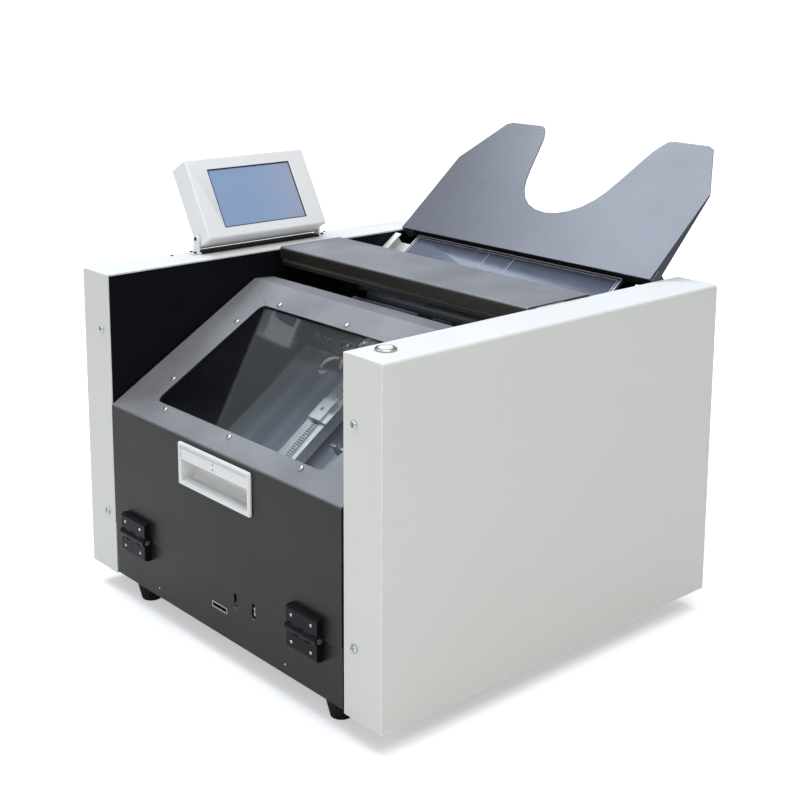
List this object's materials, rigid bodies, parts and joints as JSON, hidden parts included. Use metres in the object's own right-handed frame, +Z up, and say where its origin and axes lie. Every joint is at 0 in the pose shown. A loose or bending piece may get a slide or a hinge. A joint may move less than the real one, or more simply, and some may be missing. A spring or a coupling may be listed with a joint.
{
  "type": "booklet maker",
  "caption": "Counter-top booklet maker with a sloping stapling deck behind a hinged window door, a geared fold unit, a rear feed tray and a tilting touch screen",
  "frame": {"origin": "middle of the bounding box, on the surface that the feet stand on", "axes": "+X to the operator's right, +Y from the front door to the feed tray, +Z up"},
  "size_m": [0.475, 0.5158, 0.4342],
  "materials": {
    "white_paint": "powder coat, fine satin",
    "grey_paint": "satin grey paint",
    "dark_paint": "satin dark paint",
    "black_paint": "black powder coat",
    "silver_paint": "metallic grey paint",
    "galvanised": "bright galvanised sheet",
    "polished": "polished plate",
    "aluminium": "anodised extrusion",
    "steel": "ground steel",
    "rubber": "matte",
    "clear_plastic": "clear acrylic",
    "white_plastic": "moulded, satin",
    "black_plastic": "moulded, satin",
    "screen_glass": "glossy screen",
    "wire_sleeve": "wire insulation"
  },
  "bodies": {
    "frame": {"anvil_crossmember": "steel", "base_plate": "black_paint", "button_ring": "aluminium", "cross_strip": "grey_paint", "deck_plate_inner_left": "galvanised", "deck_plate_inner_right": "galvanised", "deck_plate_outer_left": "galvanised", "deck_plate_outer_right": "galvanised", "display_bracket": "dark_paint", "exit_chute": "galvanised", "foot_front_left": "rubber", "foot_front_right": "rubber", "foot_rear_left": "rubber", "foot_rear_right": "rubber", "frame_plate_left": "black_paint", "frame_plate_right": "black_paint", "front_panel": "dark_paint", "guide_rail_left": "aluminium", "guide_rail_right": "aluminium", "hinge_base_left": "black_plastic", "hinge_base_right": "black_plastic", "hinge_pin_left": "steel", "hinge_pin_right": "steel", "infeed_sheet": "clear_plastic", "knife_guide_left": "black_plastic", "knife_guide_right": "black_plastic", "lower_crossmember": "black_paint", "paper_tray": "silver_paint", "perforated_bar": "polished", "port_connector": "steel", "power_inlet": "black_plastic", "rail_clip_left": "white_plastic", "rail_clip_right": "white_plastic", "rear_panel": "black_paint", "roller_motor": "steel", "side_cover_left": "white_paint", "side_cover_right": "white_paint", "side_guide_left": "white_paint", "side_guide_right": "white_paint", "staple_head_left": "steel", "staple_head_right": "steel", "stop_guide_rod": "steel", "top_cover": "grey_paint", "wire_harness": "wire_sleeve"},
    "door": {"door_shell": "grey_paint", "window_pane": "clear_plastic", "door_handle": "white_plastic", "hinge_door_left": "black_plastic", "hinge_door_right": "black_plastic"},
    "display": {"display_housing": "white_plastic", "display_screen": "screen_glass"},
    "button": {"start_button": "white_plastic"},
    "knob_left": {"clamp_knob_left": "polished"},
    "knob_right": {"clamp_knob_right": "polished"},
    "stop": {"paper_stop": "galvanised"},
    "knife": {"fold_knife": "steel"},
    "roller_lower": {"fold_roller_lower": "rubber", "roller_gear_lower": "white_plastic"},
    "roller_upper": {"fold_roller_upper": "rubber", "roller_gear_upper": "white_plastic"}
  },
  "joints": [
    {"name": "door_hinge", "type": "hinge", "parent": "frame", "child": "door", "pos_m": [0.01589, -0.25337, 0.0752], "axis": [1, 0, 0], "range_deg": [0, 115]},
    {"name": "display_tilt", "type": "hinge", "parent": "frame", "child": "display", "pos_m": [-0.19091, -0.04987, 0.3363], "axis": [0, 1, 0], "range_deg": [-25, 20]},
    {"name": "button_press", "type": "slide", "parent": "frame", "child": "button", "axis": [0, 0, -1], "range_m": [0, 0.0022], "stiffness_N_per_m": 400, "springref_m": -0.002},
    {"name": "knob_left_turn", "type": "hinge", "parent": "frame", "child": "knob_left", "pos_m": [-0.03111, -0.02522, 0.23032], "axis": [0, -0.5736, 0.8192], "continuous": true},
    {"name": "knob_right_turn", "type": "hinge", "parent": "frame", "child": "knob_right", "pos_m": [0.06289, -0.02522, 0.23032], "axis": [0, -0.5736, 0.8192], "continuous": true},
    {"name": "stop_slide", "type": "slide", "parent": "frame", "child": "stop", "axis": [0, 0.8192, 0.5736], "range_m": [-0.088, 0.075]},
    {"name": "knife_stroke", "type": "slide", "parent": "frame", "child": "knife", "axis": [0, 0.5736, -0.8192], "range_m": [0, 0.023]},
    {"name": "roller_lower_turn", "type": "hinge", "parent": "frame", "child": "roller_lower", "pos_m": [0.01589, 0.05294, 0.23499], "axis": [1, 0, 0], "continuous": true},
    {"name": "roller_upper_turn", "type": "hinge", "parent": "frame", "child": "roller_upper", "pos_m": [0.01589, 0.07637, 0.2514], "axis": [1, 0, 0], "continuous": true}
  ],
  "couplings": [
    {"joint": "roller_upper_turn", "follows": "roller_lower_turn", "ratio": -1}
  ]
}
